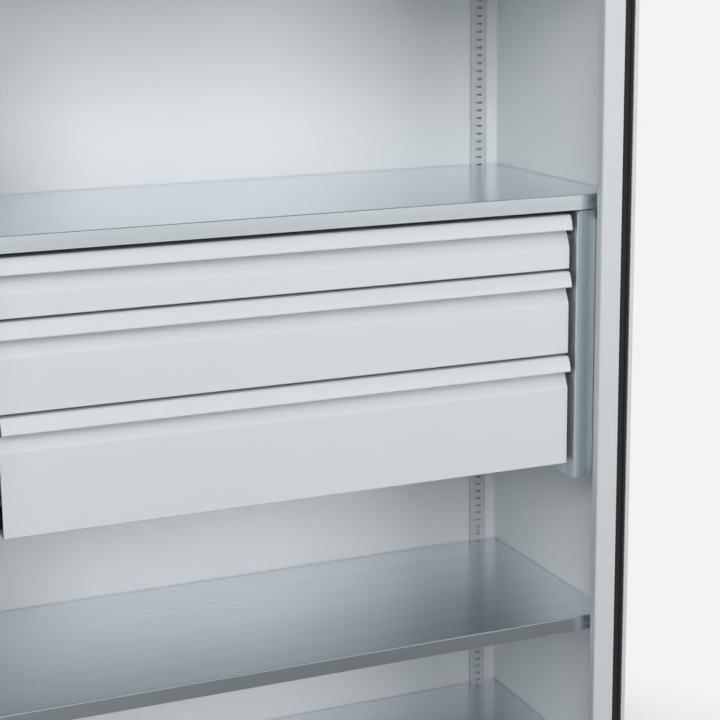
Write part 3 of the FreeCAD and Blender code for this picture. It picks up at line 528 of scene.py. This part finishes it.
def make_feet():
    """Levelling feet: fluted plastic pads, and zinc studs that are locked by a hexagon nut."""
    pads = bmesh.new()
    studs = bmesh.new()
    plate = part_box("base_panel")[0][2]
    for low, high in solids("levelling_feet"):
        place = Matrix.Translation(((low.x + high.x) / 2, (low.y + high.y) / 2, low.z))
        radius = (high.x - low.x) / 2
        profile = [(reach * radius, height * PAD_HEIGHT) for reach, height in PAD_SIDE]
        revolve(pads, profile, place, PAD_FLUTES * PAD_POINTS_PER_FLUTE, flutes)
        top = plate - low.z
        nut = [
            (0, PAD_HEIGHT), (NUT_FACE_RADIUS, PAD_HEIGHT), (NUT_RADIUS, PAD_HEIGHT + NUT_CHAMFER),
            (NUT_RADIUS, top - NUT_CHAMFER), (NUT_FACE_RADIUS, top), (0, top),
        ]
        revolve(studs, nut, place, NUT_SIDES)
        above = place @ Matrix.Translation((0, 0, top + high.z - low.z))
        upside_down = above @ Matrix.Rotation(math.pi, 4, "X")
        add_thread(studs, upside_down, STUD_RADIUS, top, high.z - low.z, STUD_PITCH, STUD_THREAD_DEPTH)
    piece_from(pads, "levelling_foot_pads", "root", "foot_plastic", "levelling_feet")
    piece_from(studs, "levelling_foot_studs", "root", "zinc_fasteners", "levelling_feet")


# Studio

LAMP_TARGET = Vector((0.0, 0.0, 0.95))
FILL_STRENGTH = 0.02
FLOOR_RADIUS = 16.0
FLOOR_SEGMENTS = 96

# The floor's greys to the eye, to mirroring surfaces and to the light that it throws back

FLOOR_SEEN = 0.85
FLOOR_MIRRORED = 0.21
FLOOR_BOUNCE = 0.37

# The floor fades into the backdrop between two distances from a spot: by the shadow for the eye,
# and by the grey card for mirroring surfaces

SHADOW_SPOT = (0.0, -0.4, 0.0)
SHADOW_STRETCH = (1.0, 1.0, 1.0)
SHADOW_REACH = (0.7, 1.2)
CARD_SPOT = (1.0, -3.1, 0.0)
CARD_STRETCH = (0.55, 1.0, 1.0)
CARD_REACH = (2.35, 3.25)

# Upward share of a direction at which the mirrored backdrop starts and ends turning into the ceiling

CEILING_START = (0.1, 0.55)

# Name, place, width, power in watts, and whether metal and gloss mirror the lamp

LAMPS = (
    ("main_lamp", (-1.9, -4.9, 3.2), 2.6, 170, True),
    ("high_left_lamp", (-3.2, -3.4, 4.8), 2.6, 70, True),
    ("low_right_lamp", (2.6, -4.4, 1.0), 2.6, 106, False),
    ("handle_lamp", (1.5, -3.0, 4.6), 3.6, 34, False),
    ("right_lamp", (5.0, 1.2, 2.0), 2.4, 120, False),
    ("left_lamp", (-5.0, 1.2, 2.0), 2.4, 120, False),
    ("rear_lamp", (-3.6, 4.2, 3.4), 2.4, 170, False),
)


def floor_material():
    """Pale floor that holds the shadow near the cabinet and fades into the backdrop with distance.

    What metal mirrors of it is darker in front of the cabinet, like a studio's grey card.
    """
    shader = Shader(bpy.data.materials.new("floor"))
    eye, _, mirror = shader.rays()
    far_to_eye = shader.spread(shader.reach(SHADOW_SPOT, SHADOW_STRETCH), 0.0, 1.0, *SHADOW_REACH)
    far_to_mirror = shader.spread(shader.reach(CARD_SPOT, CARD_STRETCH), 0.0, 1.0, *CARD_REACH)
    seen_far = shader.math("MULTIPLY", far_to_eye, eye)
    mirrored_far = shader.math("MULTIPLY", far_to_mirror, mirror)
    share = shader.math("ADD", seen_far, mirrored_far)
    grey = shader.spread(eye, FLOOR_BOUNCE, FLOOR_SEEN)
    grey = shader.math("ADD", grey, shader.spread(mirror, 0.0, FLOOR_MIRRORED - FLOOR_BOUNCE))
    matt = shader.node("ShaderNodeBsdfDiffuse", Color=grey)
    plain = shader.node("ShaderNodeEmission", Color=BACKDROP, Strength=1.0)
    return shader.end(shader.blend(share, matt, plain))


def make_floor():
    """Round floor at the height that the cabinet stands on."""
    mesh = bpy.data.meshes.new("studio_floor")
    sheet = bmesh.new()
    bmesh.ops.create_circle(sheet, cap_ends=True, segments=FLOOR_SEGMENTS, radius=FLOOR_RADIUS)
    sheet.to_mesh(mesh)
    sheet.free()
    floor = bpy.data.objects.new("studio_floor", mesh)
    bpy.context.scene.collection.objects.link(floor)
    mesh.materials.append(floor_material())


def make_world():
    """Even surroundings: a plain pale backdrop to the eye, a darker ceiling in metal, soft fill light."""
    shader = Shader(bpy.data.worlds.new("studio"))
    eye, gloss, mirror = shader.rays()
    direction = shader.node("ShaderNodeTexCoord").outputs["Generated"]
    upward_share = shader.node("ShaderNodeSeparateXYZ", Vector=direction).outputs["Z"]
    above = shader.math("MULTIPLY", shader.spread(upward_share, 0.0, 1.0, *CEILING_START), gloss)
    fill = shader.node("ShaderNodeBackground", Color=BACKDROP, Strength=FILL_STRENGTH)
    seen = shader.mix(above, BACKDROP, CEILING)
    plain = shader.node("ShaderNodeBackground", Color=seen, Strength=1.0)
    surroundings = shader.blend(shader.math("MAXIMUM", eye, mirror), fill, plain)
    bpy.context.scene.world = shader.end(surroundings, "ShaderNodeOutputWorld")


def make_lamp(name, place, size, power, mirrored):
    """Square soft box that faces the middle of the cabinet and may be left out of reflections."""
    lamp = bpy.data.lights.new(name, "AREA")
    lamp.shape = "SQUARE"
    lamp.size = size
    lamp.energy = power
    holder = bpy.data.objects.new(name, lamp)
    bpy.context.scene.collection.objects.link(holder)
    holder.location = place
    holder.rotation_euler = (LAMP_TARGET - Vector(place)).to_track_quat("-Z", "Y").to_euler()
    holder.visible_glossy = mirrored


def make_studio():
    """Floor, surroundings and lamps."""
    make_floor()
    make_world()
    for lamp in LAMPS:
        make_lamp(*lamp)


# Camera: place in metres, turn in degrees, lens and sensor in millimetres, shift as a share of the width

CAMERA_PLACE = (-1.044, -2.914, 1.586)
CAMERA_TURN = (78.02, 0.59, -23.08)
CAMERA_LENS = 91.05
CAMERA_SENSOR = 36.0
CAMERA_SHIFT = -0.05


def make_camera():
    """The photograph's view, from the left and a little above."""
    camera = bpy.data.cameras.new("camera")
    camera.lens = CAMERA_LENS
    camera.sensor_width = CAMERA_SENSOR
    camera.shift_y = CAMERA_SHIFT
    holder = bpy.data.objects.new("camera", camera)
    bpy.context.scene.collection.objects.link(holder)
    holder.location = CAMERA_PLACE
    holder.rotation_euler = Euler([math.radians(angle) for angle in CAMERA_TURN], "XYZ")
    bpy.context.scene.camera = holder


def main():
    """Dresses the frame, adds the small parts and sets the studio."""
    bpy.context.scene.view_settings.view_transform = "Standard"
    finish_nodes()
    make_fasteners()
    make_feet()
    make_studio()
    make_camera()


main()
bpy.context.view_layer.update()
